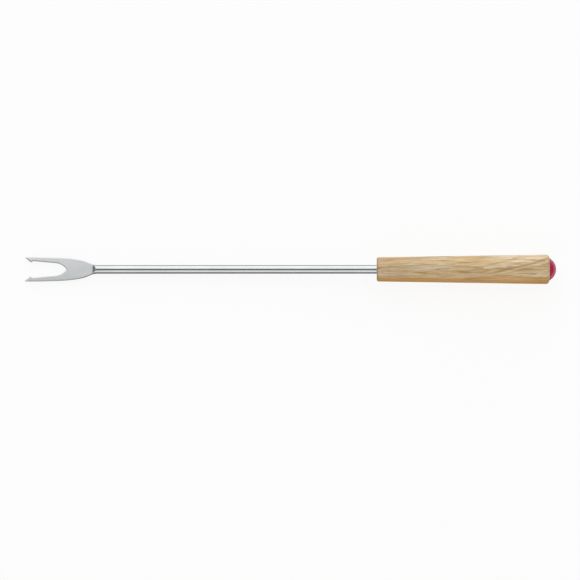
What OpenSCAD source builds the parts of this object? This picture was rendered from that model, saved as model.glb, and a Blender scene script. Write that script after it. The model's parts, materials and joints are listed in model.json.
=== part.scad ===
// Roasting fork: a steel rod forged into a two-tine head, set in a turned wooden
// handle with a coloured end cap.
//
// The pieces are drawn along +X from the tine tips, with the rod's axis on the X axis,
// and resting() then lays them down: the fork lies on the plane z = 0, on the neck of
// its head and on the front rim of the handle, so its axis rises a little towards +X.

/* [Steel fork] */
// Diameter of the round rod
rod_d = 4; // [3.6:0.1:4.4]
// Length of bare steel, from the tine tips to the handle
steel_length = 165.8; // [140:0.1:200]
// Length of the rod inside the handle
tang_length = 58; // [40:1:62]

/* [Forged head] */
// Length of the head, from the tine tips to where it meets the round rod
head_length = 34.4; // [33.8:0.1:36]
// Thickness of the tines and of the web between them
head_t = 1.3; // [1:0.1:1.5]
// Thickness of the web at the foot of the ramp that leads up to the rod
web_t = 1.7; // [1.6:0.1:2]
// Length of that ramp
ramp_length = 3; // [2.5:0.1:4]
// Radius of the hollow curve where the head grows out of the rod
neck_r = 9; // [7:0.5:10]
// Angle at which the head flares out of the neck, in degrees
neck_flare = 24; // [22:0.5:25]
// Radius of the hollow curve all round the neck that rounds the head's corners there
horn_r = 5; // [4:0.5:6]
// Radius of the rounded shoulder
shoulder_r = 16.7; // [15:0.1:18]

/* [Tines] */
// Depth of the gap between the tines
gap_depth = 19.6; // [17:0.1:21]
// Radius of each side of the pointed arch at the bottom of the gap
arch_r = 8; // [7.6:0.1:8.4]
// Angle at which each tine narrows towards its tip, in degrees
tine_taper = 5.2; // [4.4:0.1:6]
// Distance of each barb from the tine tips
barb_x = 2.7; // [2:0.1:3]
// Thickness of the ground tip
tip_t = 0.7; // [0.5:0.1:1]
// Length of the ground bevel at the tip
tip_bevel = 3; // [2:0.5:5]

/* [Handle] */
// Length of the wooden handle
handle_length = 81; // [76:0.1:100]
// Diameter of the handle at the front
front_d = 11.4; // [10.5:0.1:12]
// Diameter of the handle at the rear
rear_d = 13.9; // [13:0.1:15]
// Radius of the rounded front rim
front_round = 1; // [0.6:0.1:1.4]
// Radius of the rounded rear rim
rear_round = 1.6; // [1:0.1:1.6]

/* [End cap] */
// Diameter of the cap's dome
cap_d = 10.4; // [9:0.1:10.4]
// Height of the cap's dome
cap_h = 3.2; // [2.9:0.1:3.5]
// Angle between the dome's side and the handle's axis, in degrees
cap_side = 41; // [38:1:44]
// Diameter of the peg that holds the cap
peg_d = 4.6; // [4:0.1:5]
// Length of the peg
peg_length = 8; // [5:0.5:10]

/* [Hidden] */

$fn = 96;

// Straight pieces of the outlines that follow from the sizes above.
rod_r = rod_d / 2;
cheek_r = 57.6;             // long gentle curve along the side of the web
edge_r = 480;               // almost straight outer edge of each tine
shoulder_turn = 12.6;
cheek_turn = 9.2;
edge_turn = 2.6;
neck_run = 1;
neck_skin = 0.03;           // keeps the flat sides of the neck off the round of the rod
apex_turn = 10;             // how far round the horn's curve the ramp meets the rod
ramp_past = 10;             // how far round the ramp's own curve it carries on past there
web_start = 2.4;            // where the web starts to thicken, past the gap
crotch_r = 0.8;             // blunt bottom of the arch
crotch_turn = 42;
barb_hollow_r = 1.95;       // hollow ground behind each barb
barb_hollow_turn = 50;
beyond = 6;                 // how far cutting shapes run past the steel

// Glue gaps and hole depths inside the handle.
tang_glue_gap = 0.2;
peg_glue_gap = 0.2;
glue_setback = 0.4;
glue_end = 0.6;
air_end = 0.6;
tang_chamfer = 0.5;
key_groove = 0.3;
key_groove_w = 1.2;
key_grooves = 3;

handle_end = steel_length + handle_length;
handle_taper = atan((rear_d - front_d) / 2 / handle_length);

// Points of an arc that starts at p, heads in direction h and turns left by `turn`.
function arc_points(p, h, r, turn) =
    let (steps = max(2, ceil(abs(turn) / 4)))
    [for (i = [1:steps])
        let (g = h + turn * i / steps)
        p + sign(turn) * r * [sin(g) - sin(h), cos(h) - cos(g)]];

// Points of one leg: [length, 0] is a straight run and [radius, turn] an arc.
function leg_points(p, h, leg) =
    leg[1] == 0 ? [p + leg[0] * [cos(h), sin(h)]] : arc_points(p, h, leg[0], leg[1]);

// Points along legs that follow each other smoothly from p, starting in direction h.
function walk(p, h, legs, i = 0) =
    i == len(legs) ? [] :
    let (points = leg_points(p, h, legs[i]))
    concat(points, walk(points[len(points) - 1], h + legs[i][1], legs, i + 1));

function last(list) = list[len(list) - 1];
function reversed(list) = [for (i = [len(list) - 1:-1:0]) list[i]];
function mirrored(list) = [for (p = reversed(list)) [p[0], -p[1]]];

// Outer outline of the head seen from above, from the neck to past the tine tips.
head_legs = [
    [neck_r, -neck_flare],
    [neck_run, 0],
    [shoulder_r, shoulder_turn],
    [cheek_r, cheek_turn],
    [edge_r, edge_turn]
];
neck_side = rod_r + neck_skin;
head_outline = concat(
    [[head_length + beyond, neck_side]],
    walk([head_length, neck_side], 180, head_legs)
);

// One side of the gap: the arch, the inner edge of the tine, the hollow behind its barb,
// and the slanted cut from the barb, which leaves the tine's point at x = 0.
arch_legs = [[crotch_r, crotch_turn], [arch_r, 90 - crotch_turn - tine_taper]];
arch_outline = walk([gap_depth, 0], 90, arch_legs);
tine_heading = 180 - tine_taper;
hollow_length = barb_hollow_r * (sin(tine_heading) - sin(tine_heading + barb_hollow_turn));
tine_run = (last(arch_outline)[0] - barb_x - hollow_length) / cos(tine_taper);
tine_legs = [[tine_run, 0], [barb_hollow_r, barb_hollow_turn]];
tine_outline = walk(last(arch_outline), tine_heading, tine_legs);
barb = last(tine_outline);
tip_slant = atan2(lookup(0, head_outline) - barb[1], barb[0]);
tip_outline = walk(barb, 180 - tip_slant, [[beyond, 0]]);
gap_outline = concat([[gap_depth, 0]], arch_outline, tine_outline, tip_outline);

// Upper side of the head seen from the side: ground tip, flat, and ramp up to the rod.
// The ramp is an arc that carries on the web's slope and meets the horn at the apex.
apex = last(walk([head_length, rod_r], 180, [[horn_r, -apex_turn]]));
web_foot = [gap_depth + web_start, head_t / 2];
ramp_foot = [apex[0] - ramp_length, web_t / 2];
web_slope = atan2(ramp_foot[1] - web_foot[1], ramp_foot[0] - web_foot[0]);
ramp_chord = apex - ramp_foot;
half_turn = atan2(ramp_chord[1], ramp_chord[0]) - web_slope;
ramp_r = norm(ramp_chord) / 2 / sin(half_turn);
ramp_legs = [[ramp_r, 2 * half_turn], [ramp_r, ramp_past]];
ramp_outline = walk(ramp_foot, web_slope, ramp_legs);
side_outline = concat(
    [[0, tip_t / 2], [tip_bevel, head_t / 2], web_foot, ramp_foot],
    ramp_outline,
    [[last(ramp_outline)[0], beyond], [head_length + beyond, beyond]]
);

// Nose of the cap: an arc that meets the cone of the cap's side smoothly.
nose_rise = (1 - sin(cap_side)) / cos(cap_side);
cone_length = (cap_h - nose_rise * cap_d / 2) / (1 - nose_rise * tan(cap_side));
nose_r = (cap_d / 2 - cone_length * tan(cap_side)) / cos(cap_side);

// Lying at rest: a level line under the neck's apex and the round of the handle's rim.
rim = [steel_length + front_round, front_d / 2 - front_round];
rest_chord = rim - apex;
rest_tilt = atan(rest_chord[1] / rest_chord[0]) + asin(front_round / norm(rest_chord));
rest_height = apex[1] * cos(rest_tilt) - apex[0] * sin(rest_tilt);
rear_x = (handle_end + cap_h - nose_r) * cos(rest_tilt) + nose_r;
tip_x = -tip_t / 2 * sin(rest_tilt);

module resting() {
    translate([-(rear_x + tip_x) / 2, 0, rest_height])
        rotate([0, -rest_tilt, 0])
            children();
}

// Turns an outline of [x, radius] points about the X axis, with the seam at the side,
// clear of the line that the handle rests on.
module turned(outline) {
    rotate([90, 0, 90])
        rotate_extrude()
            polygon([for (p = outline) [p[1], p[0]]]);
}

// A round bar along X from x1 to x2.
module bar(x1, x2, d) {
    translate([x1, 0, 0])
        rotate([0, 90, 0])
            cylinder(h = x2 - x1, d = d);
}

// The round rod with its tang.
module rod() {
    tang_end = steel_length + tang_length;
    turned([
        [head_length, 0],
        [head_length, rod_r],
        [tang_end - tang_chamfer, rod_r],
        [tang_end, rod_r - tang_chamfer],
        [tang_end, 0]
    ]);
}

// Outline of the head from above.
module head_plan() {
    linear_extrude(height = 2 * beyond, center = true)
        polygon(concat(head_outline, mirrored(head_outline)));
}

// Thickness of the head from the side.
module head_side() {
    rotate([90, 0, 0])
        linear_extrude(height = 4 * beyond, center = true)
            polygon(concat(side_outline, mirrored(side_outline)));
}

// Body of revolution that shrinks to the rod at the neck and clears the rest of the head.
module horn() {
    rotate([0, 90, 0])
        rotate_extrude()
            difference() {
                translate([0, -beyond])
                    square([rod_r + beyond, head_length + beyond]);
                translate([rod_r + horn_r, head_length])
                    circle(r = horn_r);
            }
}

module tine_gap() {
    linear_extrude(height = 2 * beyond, center = true)
        polygon(concat(gap_outline, mirrored(gap_outline)));
}

// Grooves round the tang that key it into the adhesive.
module key_grooves() {
    for (i = [1:key_grooves]) {
        x = steel_length + tang_length * i / (key_grooves + 1);
        difference() {
            bar(x, x + key_groove_w, rod_d + 1);
            bar(x - 1, x + key_groove_w + 1, rod_d - 2 * key_groove);
        }
    }
}

module fork_solid() {
    difference() {
        union() {
            rod();
            intersection() {
                head_plan();
                head_side();
                horn();
            }
        }
        tine_gap();
        key_grooves();
    }
}

module handle_solid() {
    front_length = front_round * (1 - sin(handle_taper));
    rear_length = rear_round * (1 + sin(handle_taper));
    run = (handle_length - front_length - rear_length) / cos(handle_taper);
    outline = walk([steel_length, rim[1]], 90, [
        [front_round, handle_taper - 90],
        [run, 0],
        [rear_round, -90 - handle_taper]
    ]);
    bore_end = steel_length + tang_length + glue_end + air_end;
    socket_start = handle_end - peg_length - glue_end - air_end;
    difference() {
        turned(concat(
            [[steel_length, 0], [steel_length, rim[1]]],
            outline,
            [[handle_end, 0]]
        ));
        bar(steel_length - 1, bore_end, rod_d + 2 * tang_glue_gap);
        bar(socket_start, handle_end + 1, peg_d + 2 * peg_glue_gap);
    }
}

module cap_solid() {
    turned(concat(
        [[handle_end, 0], [handle_end, cap_d / 2]],
        walk([handle_end, cap_d / 2], -cap_side, [
            [cone_length / cos(cap_side), 0],
            [nose_r, cap_side - 90]
        ])
    ));
    bar(handle_end - peg_length, handle_end + cap_h / 4, peg_d);
}

module steel_fork() {
    color([0.76, 0.78, 0.79]) resting() fork_solid();
}

module wooden_handle() {
    color([0.78, 0.66, 0.49]) resting() handle_solid();
}

module end_cap() {
    color([0.69, 0.16, 0.33]) resting() cap_solid();
}

module tang_adhesive() {
    color([0.85, 0.80, 0.62]) resting()
        difference() {
            bar(
                steel_length + glue_setback,
                steel_length + tang_length + glue_end,
                rod_d + 2 * tang_glue_gap
            );
            fork_solid();
        }
}

module cap_adhesive() {
    color([0.85, 0.80, 0.62]) resting()
        difference() {
            bar(
                handle_end - peg_length - glue_end,
                handle_end,
                peg_d + 2 * peg_glue_gap
            );
            cap_solid();
        }
}

steel_fork();
wooden_handle();
end_cap();
tang_adhesive();
cap_adhesive();
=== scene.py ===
"""Roasting fork: forged steel two-tine fork, turned wooden handle and a glossy end cap.

The pieces are drawn in the fork's own axes, in millimetres: x runs along the fork from
the tine tips, y across the head and z out of the head's flat top. LAID_DOWN is the
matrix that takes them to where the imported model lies.
"""
import json
import math

import bmesh
import bpy
import numpy as np
from mathutils import Matrix, Vector


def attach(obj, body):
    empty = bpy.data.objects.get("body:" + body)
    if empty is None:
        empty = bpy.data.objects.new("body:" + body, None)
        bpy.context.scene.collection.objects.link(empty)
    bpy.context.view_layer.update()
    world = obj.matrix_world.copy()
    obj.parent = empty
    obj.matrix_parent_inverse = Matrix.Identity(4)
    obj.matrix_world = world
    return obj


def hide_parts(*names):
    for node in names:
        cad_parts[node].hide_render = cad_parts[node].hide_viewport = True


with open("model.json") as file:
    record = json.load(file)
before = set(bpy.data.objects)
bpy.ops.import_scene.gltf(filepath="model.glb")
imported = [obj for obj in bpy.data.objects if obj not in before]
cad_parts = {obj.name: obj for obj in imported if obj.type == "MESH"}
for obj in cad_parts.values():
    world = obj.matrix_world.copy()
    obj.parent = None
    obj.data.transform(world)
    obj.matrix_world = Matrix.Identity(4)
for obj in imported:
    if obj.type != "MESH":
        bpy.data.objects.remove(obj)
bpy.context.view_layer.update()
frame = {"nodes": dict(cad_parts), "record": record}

BODY = "root"
MM = 0.001

# Head of the fork, in mm and degrees, as the CAD model has it. A leg of an outline is an
# arc, as (radius, turn to the left), or a straight run, as (length, 0).
HEAD_LENGTH = 34.4
HEAD_LEGS = (             # outer edge, from the neck to the tip
    (9.0, -24.0),
    (1.0, 0.0),
    (16.7, 12.6),
    (57.6, 9.2),
    (480.0, 2.3),
)
HORN_R = 5.0              # hollow curve all round the neck
APEX_TURN = 10.0          # how far round that curve the ramp meets the rod
HEAD_T = 1.3
WEB_T = 1.7               # at the foot of the ramp
WEB_START = 22.0          # where the web starts to thicken
RAMP_LENGTH = 3.0
GAP_DEPTH = 19.6
CROTCH = (0.8, 42.0)      # blunt bottom of the gap's pointed arch
ARCH_R = 8.0
TINE_TAPER = 5.2
BARB_X = 2.7
BARB_HOLLOW = (1.95, 50.0)
TIP_T = 0.7
TIP_BEVEL = 3.0

# Softened edges of the steel, in mm.
TIP_ROUND = 0.13
BARB_ROUND = 0.1
EDGE_ROUND = 0.3
BARB_EDGE = 0.09          # the edge's rounding at the barb, where there is least room
APEX_SOFT = 0.12
CROWN = 0.1               # share of its thickness that the head loses at its outer edges

# Spacing of the points along the gap's outline, in mm.
ARCH_STEP = 0.12
TINE_STEP = 0.35
HOLLOW_STEP = 0.1
NOSE_STEP = 0.04
CORNER_STEP = 0.03

# Columns of the fork's mesh in a quarter of its cross-section, closest at the flat's ends.
FLAT_PLACES = (1 - np.cos(np.linspace(0, math.pi, 17))) / 2
WALL_STEPS = 4
EDGE_STEPS = 5
SIDE_STEPS = WALL_STEPS + EDGE_STEPS
WEB_COLUMNS = len(FLAT_PLACES) + SIDE_STEPS

# Handle and cap, in mm and degrees.
FRONT_ROUND = 1.0
REAR_ROUND = 1.6
HOLE_CLEARANCE = 0.2
HOLE_END = 1.2            # how far each hole runs past what is in it
HOLE_CHAMFER = 0.15
CAP_SIDE = 41.0           # angle between the dome's side and the axis
CAP_EDGE = 0.18

# Spacing of the points along and round the turned pieces.
RIM_STEP = 0.12
CAP_EDGE_STEP = 0.04
DOME_STEP = 0.15
TURNED_STEPS = 160

# Measurements on the CAD model are taken this far, in mm, from the ends of what they measure.
MARGIN = 1.0

# How far the view leans from straight above towards the front, in degrees.
LEAN = 11.0


# ---------------------------------------------------------------- frame

def fork_axes():
    """Matrix from the fork's own axes in mm to the row frame in metres."""
    tines = next(m for m in frame["record"]["mounts"] if m["name"] == "tines")
    along = -Vector(tines["axis"]).normalized()
    across = Vector((0, 1, 0))
    turn = Matrix((along, across, along.cross(across))).transposed().to_4x4()
    return Matrix.Translation(tines["pos_m"]) @ turn @ Matrix.Scale(MM, 4)


LAID_DOWN = fork_axes()


def cad_points(node):
    """Corners of a CAD node in the fork's own axes, as (x, radius) rows."""
    back = LAID_DOWN.inverted()
    points = np.array([back @ v.co for v in frame["nodes"][node].data.vertices])
    return np.column_stack((points[:, 0], np.hypot(points[:, 1], points[:, 2])))


def widest(points, x0, x1):
    """Largest radius between x0 and x1."""
    inside = (points[:, 0] > x0) & (points[:, 0] < x1)
    return float(points[inside, 1].max())


def handle_ends():
    """x of the handle's front and rear."""
    along = cad_points("wooden_handle")[:, 0]
    return float(along.min()), float(along.max())


def rod_radius():
    """Radius of the round rod behind the head."""
    steel = cad_points("steel_fork")
    return widest(steel, HEAD_LENGTH + MARGIN, steel[:, 0].max())


def peg_radius():
    """Radius of the cap's peg inside the handle."""
    cap = cad_points("end_cap")
    return widest(cap, cap[:, 0].min() - MARGIN, handle_ends()[1] - MARGIN)


# ---------------------------------------------------------------- outlines

def arc(p, heading, radius, turn, step):
    """Points of an arc that leaves p along heading and turns left by turn degrees, or
    right where turn is negative."""
    count = max(2, math.ceil(abs(math.radians(turn)) * radius / step))
    h = math.radians(heading)
    side = math.copysign(radius, turn)
    out = []
    for i in range(1, count + 1):
        g = h + math.radians(turn) * i / count
        out.append((p[0] + side * (math.sin(g) - math.sin(h)),
                    p[1] + side * (math.cos(h) - math.cos(g))))
    return out


def run(p, heading, length, step):
    """Points of a straight run from p."""
    count = max(1, math.ceil(length / step))
    h = math.radians(heading)
    return [(p[0] + length * i / count * math.cos(h),
             p[1] + length * i / count * math.sin(h)) for i in range(1, count + 1)]


def walk(p, heading, legs, step, run_step=1.0):
    """Points along legs that follow each other smoothly from p."""
    out = [tuple(p)]
    for size, turn in legs:
        if turn:
            out += arc(out[-1], heading, size, turn, step)
        else:
            out += run(out[-1], heading, size, run_step)
        heading += turn
    return out


def gap_outline(tip):
    """Inner edge of the tine on the +y side, from its point round the barb to the bottom of
    the gap, and the barb's own place."""
    crotch_r, crotch_turn = CROTCH
    legs = [(crotch_r, crotch_turn), (ARCH_R, 90 - crotch_turn - TINE_TAPER)]
    arch = walk((GAP_DEPTH, 0), 90, legs, ARCH_STEP)
    heading = 180 - TINE_TAPER
    hollow_r, hollow_turn = BARB_HOLLOW
    bend = math.sin(math.radians(heading)) - math.sin(math.radians(heading + hollow_turn))
    length = (arch[-1][0] - BARB_X - hollow_r * bend) / math.cos(math.radians(TINE_TAPER))
    tine = run(arch[-1], heading, length, TINE_STEP)
    hollow = arc(tine[-1], heading, hollow_r, hollow_turn, HOLLOW_STEP)
    inner = (arch + tine + hollow)[::-1]
    barb = Vector(inner[0])
    tip_slant = math.degrees(math.atan2(tip[1] - barb.y, barb.x))
    nose = walk(tip, 180, [(TIP_ROUND, 180 - tip_slant)], NOSE_STEP)
    slant = barb - Vector(nose[-1])
    slant_heading = math.degrees(math.atan2(slant.y, slant.x))
    barb_turn = heading + hollow_turn - 180 - slant_heading
    trim = BARB_ROUND * math.tan(math.radians(barb_turn / 2))
    face = run(nose[-1], slant_heading, slant.length - trim, ARCH_STEP)
    corner = arc(face[-1], slant_heading, BARB_ROUND, barb_turn, CORNER_STEP)
    clear = 1.3 * trim        # points nearer the barb than this give way to its rounded corner
    rest = [p for p in inner if (Vector(p) - barb).length > clear]
    return np.array(nose + face + corner + rest), np.array(barb)


def left_normals(points):
    """Unit normals to the left of the way along points."""
    way = np.gradient(points, axis=0)
    normals = np.column_stack((-way[:, 1], way[:, 0]))
    return normals / np.linalg.norm(normals, axis=1)[:, None]


# ---------------------------------------------------------------- steel fork

class Head:
    """Width and thickness of the forged head along x."""

    def __init__(self, rod_r):
        self.rod_r = rod_r
        outline = np.array(walk((HEAD_LENGTH, rod_r), 180, HEAD_LEGS, 0.1)[::-1])
        self.stations, self.widths = outline.T
        turn = math.radians(APEX_TURN)
        apex = np.array((HEAD_LENGTH - HORN_R * math.sin(turn),
                         rod_r + HORN_R * (1 - math.cos(turn))))
        self.apex_x = apex[0]
        self.foot = np.array((apex[0] - RAMP_LENGTH, WEB_T / 2))
        rise = (WEB_T - HEAD_T) / 2
        self.slope = math.atan2(rise, self.foot[0] - WEB_START)
        chord = apex - self.foot
        half_turn = math.atan2(chord[1], chord[0]) - self.slope
        self.ramp_r = np.hypot(*chord) / 2 / math.sin(half_turn)

    def half_width(self, x):
        return np.interp(x, self.stations, self.widths)

    def half_thickness(self, x):
        """Height of the flat and of its ramp, softened where the ramp meets the round rod."""
        steepest = 0.98       # sine of the slope that the ramp's arc is followed to
        x = np.asarray(x, float)
        flat = np.interp(x, (0, TIP_BEVEL, WEB_START, self.foot[0]),
                         (TIP_T / 2, HEAD_T / 2, HEAD_T / 2, WEB_T / 2))
        sine = math.sin(self.slope) + np.maximum(x - self.foot[0], 0) / self.ramp_r
        lift = np.cos(self.slope) - np.sqrt(1 - np.clip(sine, 0, steepest) ** 2)
        ramp = np.where(x > self.foot[0], flat + self.ramp_r * lift, flat)
        width = self.half_width(x)
        mix = np.clip(0.5 + (width - ramp) / APEX_SOFT / 2, 0, 1)
        return width + (ramp - width) * mix - APEX_SOFT * mix * (1 - mix)


def smooth(t):
    """t taken smoothly from 0 to 1."""
    t = np.clip(t, 0, 1)
    return t * t * (3 - 2 * t)


def side_points(width, height, soft):
    """Rounded edge and side of a cross-section, from the flat's end down to z = 0."""
    rise = height - soft
    flat = math.sqrt(max((width - soft) ** 2 - rise ** 2, 0))
    bend = math.atan2(flat, rise)
    edge = [(flat + soft * math.sin(a), rise + soft * math.cos(a))
            for a in np.linspace(0, bend, EDGE_STEPS + 1)]
    side = [(width * math.sin(a), width * math.cos(a))
            for a in np.linspace(bend, math.pi / 2, WALL_STEPS + 1)]
    return np.array(edge + side[1:])


def neck_points(width, height, soft, even):
    """Points of a quarter cross-section, from the top centre round to the side. even moves
    them from the head's own spacing, at 0, to equal steps, at 1."""
    rise = height - soft
    flat = math.sqrt(max((width - soft) ** 2 - rise ** 2, 0))
    bend = math.atan2(flat, rise)
    edge = soft * bend
    side = width * (math.pi / 2 - bend)
    head = np.concatenate((
        flat * FLAT_PLACES,
        flat + edge * np.arange(1, EDGE_STEPS + 1) / EDGE_STEPS,
        flat + edge + side * np.arange(1, WALL_STEPS + 1) / WALL_STEPS,
    ))
    equal = np.linspace(0, flat + edge + side, WEB_COLUMNS)
    out = []
    for s in head + (equal - head) * even:
        if s <= flat:
            out.append((s, height))
        elif s <= flat + edge:
            a = (s - flat) / soft
            out.append((flat + soft * math.sin(a), rise + soft * math.cos(a)))
        else:
            a = bend + (s - flat - edge) / width
            out.append((width * math.sin(a), width * math.cos(a)))
    return np.array(out)


def web_row(head, start, x_out, soft):
    """Columns from start, on the flat, out to the rounded edge and down the side at x_out."""
    side = side_points(head.half_width(x_out), head.half_thickness(x_out), soft)
    end = np.array((x_out, side[0, 0]))
    flat = start + (end - start) * FLAT_PLACES[:, None]
    top = np.column_stack((flat, head.half_thickness(flat[:, 0])))
    down = np.column_stack((np.full(SIDE_STEPS, x_out), side[1:]))
    return np.vstack((top, down))


def tine_row(head, point, normal, x_out, soft, outer_soft):
    """Columns up the inner side of a tine, over its rounded edge and across the flat."""
    height = head.half_thickness(point[0])
    wall = [(*point, (height - soft) * i / WALL_STEPS) for i in range(WALL_STEPS)]
    edge = []
    for a in np.linspace(0, math.pi / 2, EDGE_STEPS + 1)[:-1]:
        place = point + normal * soft * (1 - math.cos(a))
        edge.append((*place, head.half_thickness(place[0]) - soft + soft * math.sin(a)))
    return np.vstack((wall, edge, web_row(head, point + normal * soft, x_out, outer_soft)))


def point_row(head, point):
    """The tine's point: every column on one upright line, so that both sides meet."""
    height = head.half_thickness(point[0])
    up = height * np.arange(SIDE_STEPS) / SIDE_STEPS
    flat = np.full(len(FLAT_PLACES), height)
    down = up[::-1]
    z = np.concatenate((up, flat, down))
    return np.column_stack((np.full(len(z), point[0]), np.full(len(z), point[1]), z))


def tine_rows(head):
    """Rows along one tine, from its point to the bottom of the gap."""
    tip = (TIP_ROUND, float(head.half_width(TIP_ROUND)))
    inner, barb = gap_outline(tip)
    normals = left_normals(inner)
    normals[-1] = (1, 0)
    arch_width = 3.2          # the rows are skewed where the inner edge is nearer the axis
    skew = 2.6
    skew_power = 1.5
    least_step = 0.02         # the outer ends of the rows keep at least this far apart
    edge_share = 0.38         # share of a row's width that its rounded edge may take
    edge_growth = 0.6         # growth of the edge's rounding with distance from the barb
    rows = [point_row(head, inner[0])]
    x_out = inner[0, 0]
    for point, normal in zip(inner[1:], normals[1:]):
        lean = skew * max(1 - point[1] / arch_width, 0) ** skew_power
        x_out = max(x_out + least_step, point[0] + lean)
        room = math.hypot(x_out - point[0], float(head.half_width(x_out)) - point[1])
        outer_soft = min(EDGE_ROUND, edge_share * room)
        from_barb = float(np.hypot(*(point - barb)))
        soft = min(outer_soft, BARB_EDGE + edge_growth * from_barb)
        rows.append(tine_row(head, point, normal, x_out, soft, outer_soft))
    return rows


def web_rows(head, start_x, start_out):
    """Rows from the bottom of the gap through the web and the neck to the round rod."""
    straight_x = 28.6         # from here on the rows run square across
    neck_x = 29.0             # from here on their points spread evenly round the section
    step = 0.3
    neck_step = 0.25
    ramp_step = 0.12
    skew = start_out - start_x
    rows = []
    x = start_x + step
    while x < HEAD_LENGTH + MARGIN:
        lean = skew * (1 - smooth((x - start_x) / (straight_x - start_x)))
        if x < neck_x:
            rows.append(web_row(head, np.array((x, 0.0)), x + lean, EDGE_ROUND))
        else:
            step = ramp_step if x > head.foot[0] else neck_step
            even = smooth((x - neck_x) / (head.apex_x - neck_x))
            width = float(head.half_width(x))
            yz = neck_points(width, float(head.half_thickness(x)), EDGE_ROUND, even)
            rows.append(np.column_stack((np.full(WEB_COLUMNS, x), yz)))
        x += step
    return rows


def rod_rows(rod_r, tang_start, tang_end):
    """Rings of the rod and of its tang, with the grooves that key it in the handle."""
    chamfer = 0.5
    groove = 0.3
    groove_width = 1.2
    grooves = 3
    ring_step = 4.0
    rings = [(x, rod_r) for x in np.arange(HEAD_LENGTH + 2 * MARGIN, tang_start, ring_step)]
    for i in range(1, grooves + 1):
        x = tang_start + (tang_end - tang_start) * i / (grooves + 1)
        deep = rod_r - groove
        rings += [(x, rod_r), (x, deep), (x + groove_width, deep), (x + groove_width, rod_r)]
    rings += [(tang_end - chamfer, rod_r), (tang_end, rod_r - chamfer)]
    angles = np.linspace(0, math.pi / 2, WEB_COLUMNS)
    return [np.column_stack((np.full(WEB_COLUMNS, x), r * np.sin(angles), r * np.cos(angles)))
            for x, r in rings]


def quarter_fork():
    """Vertices and faces of the quarter of the fork with y and z above 0."""
    steel = cad_points("steel_fork")
    tang_start = handle_ends()[0]
    rod_r = rod_radius()
    head = Head(rod_r)
    tines = tine_rows(head)
    web = web_rows(head, tines[-1][SIDE_STEPS, 0], tines[-1][-1, 0])
    rows = tines + web + rod_rows(rod_r, tang_start, steel[:, 0].max())
    verts, faces, starts = [], [], []
    for row in rows:
        starts.append(len(verts))
        verts += [tuple(p) for p in row]
    # A tine's row has columns for its inner side too, so neighbours line up at the outer side.
    for i in range(len(rows) - 1):
        columns = min(len(rows[i]), len(rows[i + 1]))
        a = starts[i] + len(rows[i]) - columns
        b = starts[i + 1] + len(rows[i + 1]) - columns
        faces += [(a + c, a + c + 1, b + c + 1, b + c) for c in range(columns - 1)]
    verts = np.array(verts)
    crowned = 1 - smooth((verts[:, 0] - WEB_START) / (head.foot[0] - WEB_START))
    verts[:, 2] *= 1 - CROWN * crowned * (verts[:, 1] / head.widths.max()) ** 2
    return verts, faces


def mirrored(verts, faces, axis):
    """The shape with its own mirror image beside it."""
    other = verts.copy()
    other[:, axis] *= -1
    flipped = [tuple(len(verts) + i for i in reversed(f)) for f in faces]
    return np.vstack((verts, other)), faces + flipped


def make_fork():
    verts, faces = quarter_fork()
    verts, faces = mirrored(verts, faces, 2)
    verts, faces = mirrored(verts, faces, 1)
    return new_piece("fork_steel", verts, faces, "steel_fork")


# ---------------------------------------------------------------- turned pieces

def turned(outline):
    """Vertices and faces of an outline of (x, radius), on the axis at both ends, turned about x."""
    verts = [(outline[0][0], 0, 0)]
    rings = outline[1:-1]
    for x, r in rings:
        for i in range(TURNED_STEPS):
            a = 2 * math.pi * i / TURNED_STEPS
            verts.append((x, r * math.cos(a), r * math.sin(a)))
    verts.append((outline[-1][0], 0, 0))
    faces = []
    last_ring = 1 + (len(rings) - 1) * TURNED_STEPS
    for i in range(TURNED_STEPS):
        j = (i + 1) % TURNED_STEPS
        faces.append((0, 1 + j, 1 + i))
        faces.append((len(verts) - 1, last_ring + i, last_ring + j))
        for k in range(len(rings) - 1):
            a = 1 + k * TURNED_STEPS
            b = a + TURNED_STEPS
            faces.append((a + i, a + j, b + j, b + i))
    return np.array(verts), faces


def make_handle():
    """Tapered handle with rounded rims, drilled for the tang and for the cap's peg."""
    wood = cad_points("wooden_handle")
    front, rear = handle_ends()
    front_r = widest(wood, front + FRONT_ROUND / 2, front + 2 * FRONT_ROUND)
    rear_r = widest(wood, rear - 2 * REAR_ROUND, rear)
    taper = math.degrees(math.atan((rear_r - front_r) / (rear - front - FRONT_ROUND - REAR_ROUND)))
    bend = math.sin(math.radians(taper))
    length = rear - front - FRONT_ROUND * (1 - bend) - REAR_ROUND * (1 + bend)
    legs = [(FRONT_ROUND, taper - 90), (length / math.cos(math.radians(taper)), 0)]
    legs += [(REAR_ROUND, -90 - taper)]
    outer = walk((front, front_r - FRONT_ROUND), 90, legs, RIM_STEP)
    bore_r = rod_radius() + HOLE_CLEARANCE
    bore_end = cad_points("steel_fork")[:, 0].max() + HOLE_END
    socket_r = peg_radius() + HOLE_CLEARANCE
    socket_end = cad_points("end_cap")[:, 0].min() - HOLE_END
    bore = [(bore_end, 0), (bore_end, bore_r), (front + HOLE_CHAMFER, bore_r)]
    bore += [(front, bore_r + HOLE_CHAMFER)]
    socket = [(rear, socket_r), (socket_end, socket_r), (socket_end, 0)]
    verts, faces = turned(bore + outer + socket)
    return new_piece("handle_wood", verts, faces, "wooden_handle")


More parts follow.
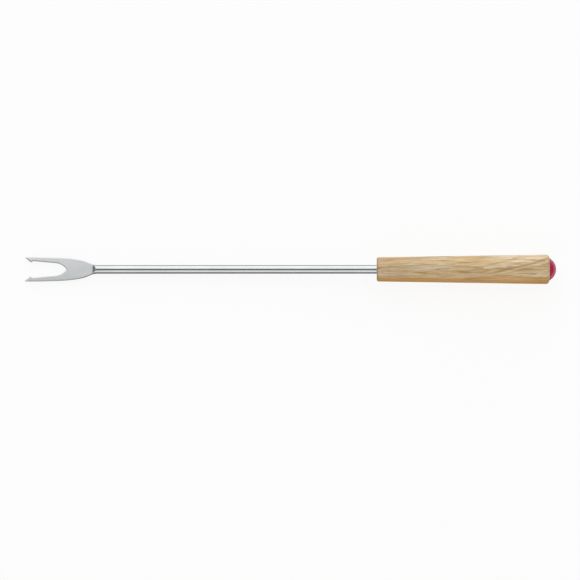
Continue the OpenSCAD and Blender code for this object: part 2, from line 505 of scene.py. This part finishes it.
def make_cap():
    """Domed cap: a small rounded edge, a conical side and a round nose, on a peg."""
    points = cad_points("end_cap")
    peg_end = points[:, 0].min()
    peg_r = peg_radius()
    rear = handle_ends()[1]
    height = points[:, 0].max() - rear
    cap_r = points[:, 1].max()
    side = math.radians(CAP_SIDE)
    edge = walk((rear, cap_r - CAP_EDGE), 90, [(CAP_EDGE, -90 - CAP_SIDE)], CAP_EDGE_STEP)
    x, r = edge[-1]
    rise = (1 - math.sin(side)) / math.cos(side)
    cone = (rear + height - x - r * rise) / (math.cos(side) - math.sin(side) * rise)
    nose_r = (r - cone * math.sin(side)) / math.cos(side)
    dome = walk(edge[-1], -CAP_SIDE, [(cone, 0), (nose_r, CAP_SIDE - 90)], DOME_STEP, DOME_STEP)
    peg = [(peg_end, 0), (peg_end, peg_r), (rear, peg_r)]
    dome[-1] = (rear + height, 0)
    verts, faces = turned(peg + edge + dome[1:])
    return new_piece("cap_dome", verts, faces, "end_cap")


# ---------------------------------------------------------------- pieces

def new_piece(name, verts, faces, replaced):
    """Closed mesh object laid down in the row frame, riding on the body in place of a CAD
    node."""
    same_place = 1e-4
    no_length = 1e-5
    sharp = math.radians(50)
    mesh = bpy.data.meshes.new(name)
    mesh.from_pydata([tuple(v) for v in verts], [], faces)
    bm = bmesh.new()
    bm.from_mesh(mesh)
    bmesh.ops.remove_doubles(bm, verts=bm.verts, dist=same_place)
    bmesh.ops.dissolve_degenerate(bm, edges=bm.edges, dist=no_length)
    rim = [e for e in bm.edges if e.is_boundary]
    if rim:
        bmesh.ops.holes_fill(bm, edges=rim)
    bmesh.ops.recalc_face_normals(bm, faces=bm.faces)
    bm.transform(LAID_DOWN)
    bm.to_mesh(mesh)
    bm.free()
    mesh.shade_smooth()
    mesh.set_sharp_from_angle(angle=sharp)
    piece = bpy.data.objects.new(name, mesh)
    bpy.context.scene.collection.objects.link(piece)
    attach(piece, BODY)
    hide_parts(replaced)
    return piece


# ---------------------------------------------------------------- materials

class Graph:
    """Small helper that adds shader nodes to a material or a world and wires them up."""

    def __init__(self, owner):
        self.owner = owner
        owner.use_nodes = True
        self.nodes = owner.node_tree.nodes
        self.links = owner.node_tree.links

    def put(self, socket, value):
        """Puts a number, a colour or another node's output on an input socket."""
        if isinstance(value, bpy.types.NodeSocket):
            self.links.new(value, socket)
        else:
            socket.default_value = value

    def add(self, kind, *values, **settings):
        """New node with its settings and the values of its first inputs, in their order."""
        node = self.nodes.new("ShaderNode" + kind)
        for key, setting in settings.items():
            setattr(node, key, setting)
        for socket, value in zip(node.inputs, values):
            self.put(socket, value)
        return node

    def finish(self, **inputs):
        """Gives the surface shader its values, by input name with _ for a space."""
        shader = self.nodes["Principled BSDF"]
        for key, value in inputs.items():
            self.put(shader.inputs[key.replace("_", " ")], value)
        return self.owner

    def place(self):
        """Position in the fork's own axes, in mm."""
        back = LAID_DOWN.inverted()
        where = self.add("TexCoord").outputs["Object"]
        mapping = self.add("Mapping", where, back.translation, back.to_euler(), back.to_scale())
        return mapping.outputs["Vector"]

    def parts(self, vector):
        return self.add("SeparateXYZ", vector).outputs

    def noise(self, vector, scale, detail=3.0, rough=0.5, shift=(0, 0, 0)):
        """Noise at a scale, in waves per mm, and a shift of its own along each axis."""
        scaled = self.add("VectorMath", vector, scale, shift, operation="MULTIPLY_ADD")
        node = self.add("TexNoise", scaled.outputs[0])
        for key, value in (("Scale", 1.0), ("Detail", detail), ("Roughness", rough)):
            self.put(node.inputs[key], value)
        return node.outputs[0]

    def math(self, operation, a, b=0.0, c=0.0):
        return self.add("Math", a, b, c, operation=operation).outputs[0]

    def times(self, a, b):
        return self.math("MULTIPLY", a, b)

    def span(self, value, low, high, to_low=0.0, to_high=1.0):
        """value taken smoothly from the range low..high to to_low..to_high."""
        ends = (low, high, to_low, to_high)
        return self.add("MapRange", value, *ends, interpolation_type="SMOOTHSTEP").outputs[0]

    def mix(self, factor, under, over):
        """Colour under, with over on it where factor is 1."""
        node = self.add("Mix", factor, data_type="RGBA")
        colours = [socket for socket in node.inputs if socket.type == "RGBA"]
        for socket, value in zip(colours, (under, over)):
            self.put(socket, value)
        return next(socket for socket in node.outputs if socket.type == "RGBA")

    def bump(self, height, depth, under=None):
        """Normal of a surface that rises by up to depth mm, over another bump's normal."""
        node = self.add("Bump")
        self.put(node.inputs["Distance"], depth * MM)
        self.put(node.inputs["Height"], height)
        if under is not None:
            self.put(node.inputs["Normal"], under)
        return node.outputs[0]


def colour(r, g, b):
    """Linear colour of an sRGB one given in 0..255."""
    def linear(v):
        v /= 255
        return v / 12.92 if v < 0.04045 else ((v + 0.055) / 1.055) ** 2.4
    return (linear(r), linear(g), linear(b), 1.0)


def steel_material():
    """Polished rod and satin forged head, both drawn lengthwise, with fine wear."""
    satin_end, polish_start = 31.5, 32.2
    g = Graph(bpy.data.materials.new("polished_steel"))
    place = g.place()
    head = g.span(g.parts(place)[0], satin_end, polish_start, 1.0, 0.0)
    lines = g.noise(place, (0.05, 7.0, 7.0), 4.0, 0.6)
    clouds = g.noise(place, (0.12, 0.3, 0.3), shift=(3.1, 0, 0))
    grind = g.noise(place, (0.5, 4.0, 4.0), 3.0, 0.55, (0, 5.7, 0))
    scratch = g.noise(place, (0.35, 14.0, 14.0), 2.0, 0.4, (0, 0, 9.2))
    ripple = g.noise(place, (0.22, 0.4, 0.4), 1.0, shift=(1.3, 2.2, 0))
    tint = g.mix(clouds, colour(214, 217, 218), colour(230, 232, 232))
    tint = g.mix(g.times(lines, 0.2), tint, colour(186, 190, 193))
    satin = g.span(grind, 0.3, 0.7, 0.34, 0.4)
    polish = g.span(lines, 0.3, 0.7, 0.1, 0.16)
    rough = g.math("ADD", g.times(head, satin), g.times(g.math("SUBTRACT", 1.0, head), polish))
    rough = g.math("MULTIPLY_ADD", g.span(scratch, 0.66, 0.74), 0.06, rough)
    normal = g.bump(ripple, 0.02)
    normal = g.bump(lines, 0.0012, normal)
    normal = g.bump(g.times(grind, head), 0.0015, normal)
    return g.finish(Base_Color=tint, Metallic=1.0, Roughness=rough, Normal=normal)


def wood_rings(g, place, wander, front):
    """Strength of the dark late wood in the growth rings, and of one dark ring that climbs
    across the rear of the handle."""
    ring_width = 3.1
    climb_start, climb_softness, climb_slope = front + 48.5, 8.0, 0.23
    seam_depth, seam_half_width = 0.8, 0.8
    seam_start, seam_full = front + 50, front + 62
    x, y, z = g.parts(place)
    # Depth into the wood runs mostly along y, climbs towards the rear and wanders.
    past = g.math("SMOOTH_MAX", g.math("SUBTRACT", x, climb_start), 0.0, climb_softness)
    across = g.math("MULTIPLY_ADD", z, 0.31, g.times(y, 0.95))
    straight = g.math("SUBTRACT", across, g.times(past, climb_slope))
    depth = g.math("MULTIPLY_ADD", wander, 6.0, straight)
    row = g.add("CombineXYZ", g.times(depth, 0.4), 0.0, 4.4).outputs[0]
    spread = g.noise(row, (1, 1, 1), 1.0)
    phase = g.math("MULTIPLY_ADD", spread, 2.6, g.math("DIVIDE", depth, ring_width))
    phase = g.math("FRACT", phase)
    late = g.times(g.span(phase, 0.25, 0.85), g.span(phase, 0.9, 1.0, 1.0, 0.0))
    patches = g.noise(place, (0.035, 0.3, 0.3), 2.0, shift=(2.0, 6.1, 0))
    late = g.times(late, g.span(patches, 0.34, 0.62, 0.1, 1.0))
    off_seam = g.math("ABSOLUTE", g.math("SUBTRACT", depth, seam_depth))
    seam = g.span(off_seam, 0.1, seam_half_width, 1.0, 0.0)
    return late, g.times(seam, g.span(x, seam_start, seam_full))


def wood_material():
    """Turned pale hardwood: wandering growth rings, one of them dark, a golden band along the −y
    side that is part heartwood tone and part painted shade, fibres, pores and darker end grain."""
    front_end, rear_end = 1.2, 1.6        # depth of the end grain
    g = Graph(bpy.data.materials.new("turned_ash"))
    front, rear = handle_ends()
    place = g.place()
    x, y, _ = g.parts(place)
    wander = g.noise(place, (0.02, 0.11, 0.11), 2.0, shift=(0.4, 0, 2.6))
    late, seam = wood_rings(g, place, wander, front)
    fibres = g.noise(place, (0.11, 2.2, 2.2), 5.0, 0.66)
    hues = g.noise(place, (0.045, 0.62, 0.62), shift=(7.0, 1.4, 0))
    flecks = g.noise(place, (0.09, 1.1, 1.1), shift=(1.7, 0, 5.2))
    pore = g.span(g.noise(place, (0.3, 6.5, 6.5), 2.0, shift=(0, 3.3, 8.1)), 0.62, 0.7)
    # Golden band on the −y side, the side the brighter back lights miss: part heartwood tone, part
    # painted shade.
    side = g.math("MULTIPLY_ADD", fibres, 3.5, g.math("MULTIPLY_ADD", wander, -3.0, y))
    heart_and_shade = g.span(side, -6.0, -3.0, 1.0, 0.0)
    ends = g.math("ADD", g.span(x, front, front + front_end, 0.6, 0.0),
                  g.span(x, rear - rear_end, rear, 0.0, 0.2))
    base = g.mix(g.span(hues, 0.36, 0.64), colour(255, 241, 208), colour(246, 212, 154))
    for factor, tone in (
        (g.span(x, front, rear, 0.32, 0.0), colour(190, 154, 104)),
        (g.times(late, 0.75), colour(202, 156, 94)),
        (g.times(heart_and_shade, 0.95), colour(218, 158, 64)),
        (g.times(seam, 0.6), colour(186, 132, 70)),
        (g.span(flecks, 0.56, 0.66, 0.0, 0.6), colour(178, 128, 66)),
        (g.span(fibres, 0.44, 0.62, 0.0, 0.56), colour(184, 142, 82)),
        (g.times(pore, 0.5), colour(128, 88, 50)),
        (ends, colour(158, 120, 66)),
    ):
        base = g.mix(factor, base, tone)
    satin = g.span(fibres, 0.3, 0.7, 0.34, 0.5)
    grain = g.math("SUBTRACT", fibres, g.times(pore, 0.8))
    return g.finish(Base_Color=base, Roughness=satin, Normal=g.bump(grain, 0.02),
                    Specular_IOR_Level=0.5, Coat_Weight=0.3, Coat_Roughness=0.35)


def cap_material():
    """Glossy crimson plastic with faint moulding flow and handling marks."""
    g = Graph(bpy.data.materials.new("crimson_plastic"))
    place = g.place()
    flow = g.noise(place, (0.3, 0.3, 0.3), 2.0)
    marks = g.noise(place, (6.0, 6.0, 6.0), 3.0, 0.6)
    base = g.mix(flow, colour(180, 6, 66), colour(200, 14, 82))
    gloss = g.span(marks, 0.35, 0.7, 0.16, 0.26)
    return g.finish(Base_Color=base, Roughness=gloss, Normal=g.bump(flow, 0.015))


def epoxy_material():
    """Cured amber glue, cloudy with small bubbles."""
    g = Graph(bpy.data.materials.new("cured_epoxy"))
    place = g.place()
    clouds = g.noise(place, (0.7, 0.7, 0.7))
    bubbles = g.noise(place, (4.0, 4.0, 4.0), 1.0)
    base = g.mix(clouds, colour(196, 170, 112), colour(222, 202, 150))
    return g.finish(Base_Color=base, Roughness=g.span(clouds, 0.3, 0.7, 0.35, 0.6),
                    Normal=g.bump(bubbles, 0.03))


def paint(piece, material):
    """One material over the whole of a piece, in place of any it came with."""
    piece.data.materials.clear()
    piece.data.materials.append(material)


# ---------------------------------------------------------------- studio

def aim(thing, target):
    """Turns a light to face a point."""
    thing.rotation_euler = (Vector(target) - thing.location).to_track_quat("-Z", "Y").to_euler()


def panel(name, place, target, size, radiance):
    """Rectangular soft light whose face glows with an even radiance, unseen by the camera."""
    light = bpy.data.lights.new(name, "AREA")
    light.shape = "RECTANGLE"
    light.size, light.size_y = size
    light.energy = radiance * math.pi * size[0] * size[1]
    lamp = bpy.data.objects.new(name, light)
    bpy.context.scene.collection.objects.link(lamp)
    lamp.location = place
    aim(lamp, target)
    lamp.visible_camera = False


def softboxes():
    """Long panels on both sides of the fork, with a dark strip left round the view."""
    length = 1.9
    reach = 0.9
    # Name, first and last edge in degrees from the view towards the back, and radiance.
    spans = (("back_high", 17, 50, 0.88), ("back_low", 50, 98, 1.02),
             ("front_high", -20, -48, 0.72), ("front_low", -48, -77, 0.92))
    for name, start, end, radiance in spans:
        edges = [Vector((0, math.sin(a), math.cos(a))) * reach
                 for a in (math.radians(start - LEAN), math.radians(end - LEAN))]
        depth = (edges[1] - edges[0]).length
        panel(name, (edges[0] + edges[1]) / 2, (0, 0, 0), (length, depth), radiance)


def sky():
    """Dim surroundings, lightest at the horizon and behind, with a white table beyond the cap."""
    horizon, overhead, underfoot = 0.42, 0.18, 0.1
    behind = 0.15
    white = 0.8
    world = bpy.data.worlds.new("studio")
    bpy.context.scene.world = world
    g = Graph(world)
    x, y, z = g.parts(g.add("TexCoord").outputs["Generated"])
    above = g.span(z, -0.1, 0.4, horizon, overhead)
    below = g.span(z, -1.0, -0.4, underfoot, horizon)
    dim = g.math("MULTIPLY_ADD", y, behind, g.math("MINIMUM", above, below))
    table = g.times(g.span(x, 0.3, 0.8), g.span(z, -0.5, -0.1, white, 0.0))
    g.put(g.nodes["Background"].inputs["Color"], g.math("ADD", dim, table))


def floor():
    """Wide pale floor just under the fork, lit from within so that shadows stay faint."""
    half = 5.0
    drop = 0.0002
    glow = 0.89
    greys = [(shade, shade, shade, 1) for shade in (0.12, 0.13)]
    g = Graph(bpy.data.materials.new("pale_floor"))
    mottle = g.noise(g.place(), (0.004, 0.004, 0.004), 2.0)
    pale = g.finish(Base_Color=g.mix(mottle, *greys), Roughness=0.9, Specular_IOR_Level=0.0,
                    Emission_Color=(1, 1, 1, 1), Emission_Strength=glow)
    corners = [(x * half, y * half, -drop) for x, y in ((-1, -1), (1, -1), (1, 1), (-1, 1))]
    mesh = bpy.data.meshes.new("floor")
    mesh.from_pydata(corners, [], [(0, 1, 2, 3)])
    ground = bpy.data.objects.new("floor", mesh)
    bpy.context.scene.collection.objects.link(ground)
    ground.visible_glossy = False
    paint(ground, pale)


def camera():
    """Square on to the fork from far above, leaning a little to its front side."""
    lean = math.radians(LEAN)
    distance = 1.5166
    below_middle = 0.0097     # the fork lies this far, in m, above the picture's middle
    data = bpy.data.cameras.new("camera")
    data.lens = 200
    data.sensor_width = 36
    eye = bpy.data.objects.new("camera", data)
    bpy.context.scene.collection.objects.link(eye)
    back = Vector((0, -math.sin(lean), math.cos(lean)))
    along = LAID_DOWN.to_3x3() @ Vector((1, 0, 0))
    right = (along - back * along.dot(back)).normalized()
    up = back.cross(right)
    length = cad_points("end_cap")[:, 0].max()
    middle = LAID_DOWN @ Vector((length / 2, 0, 0))
    eye.location = middle - up * below_middle + back * distance
    eye.rotation_euler = Matrix((right, up, back)).transposed().to_euler()
    bpy.context.scene.camera = eye


# ---------------------------------------------------------------- scene

def main():
    paint(make_fork(), steel_material())
    paint(make_handle(), wood_material())
    paint(make_cap(), cap_material())
    epoxy = epoxy_material()
    for name in ("tang_adhesive", "cap_adhesive"):
        paint(frame["nodes"][name], epoxy)
    floor()
    softboxes()
    sky()
    camera()
    bpy.context.scene.view_settings.view_transform = "Standard"


main()
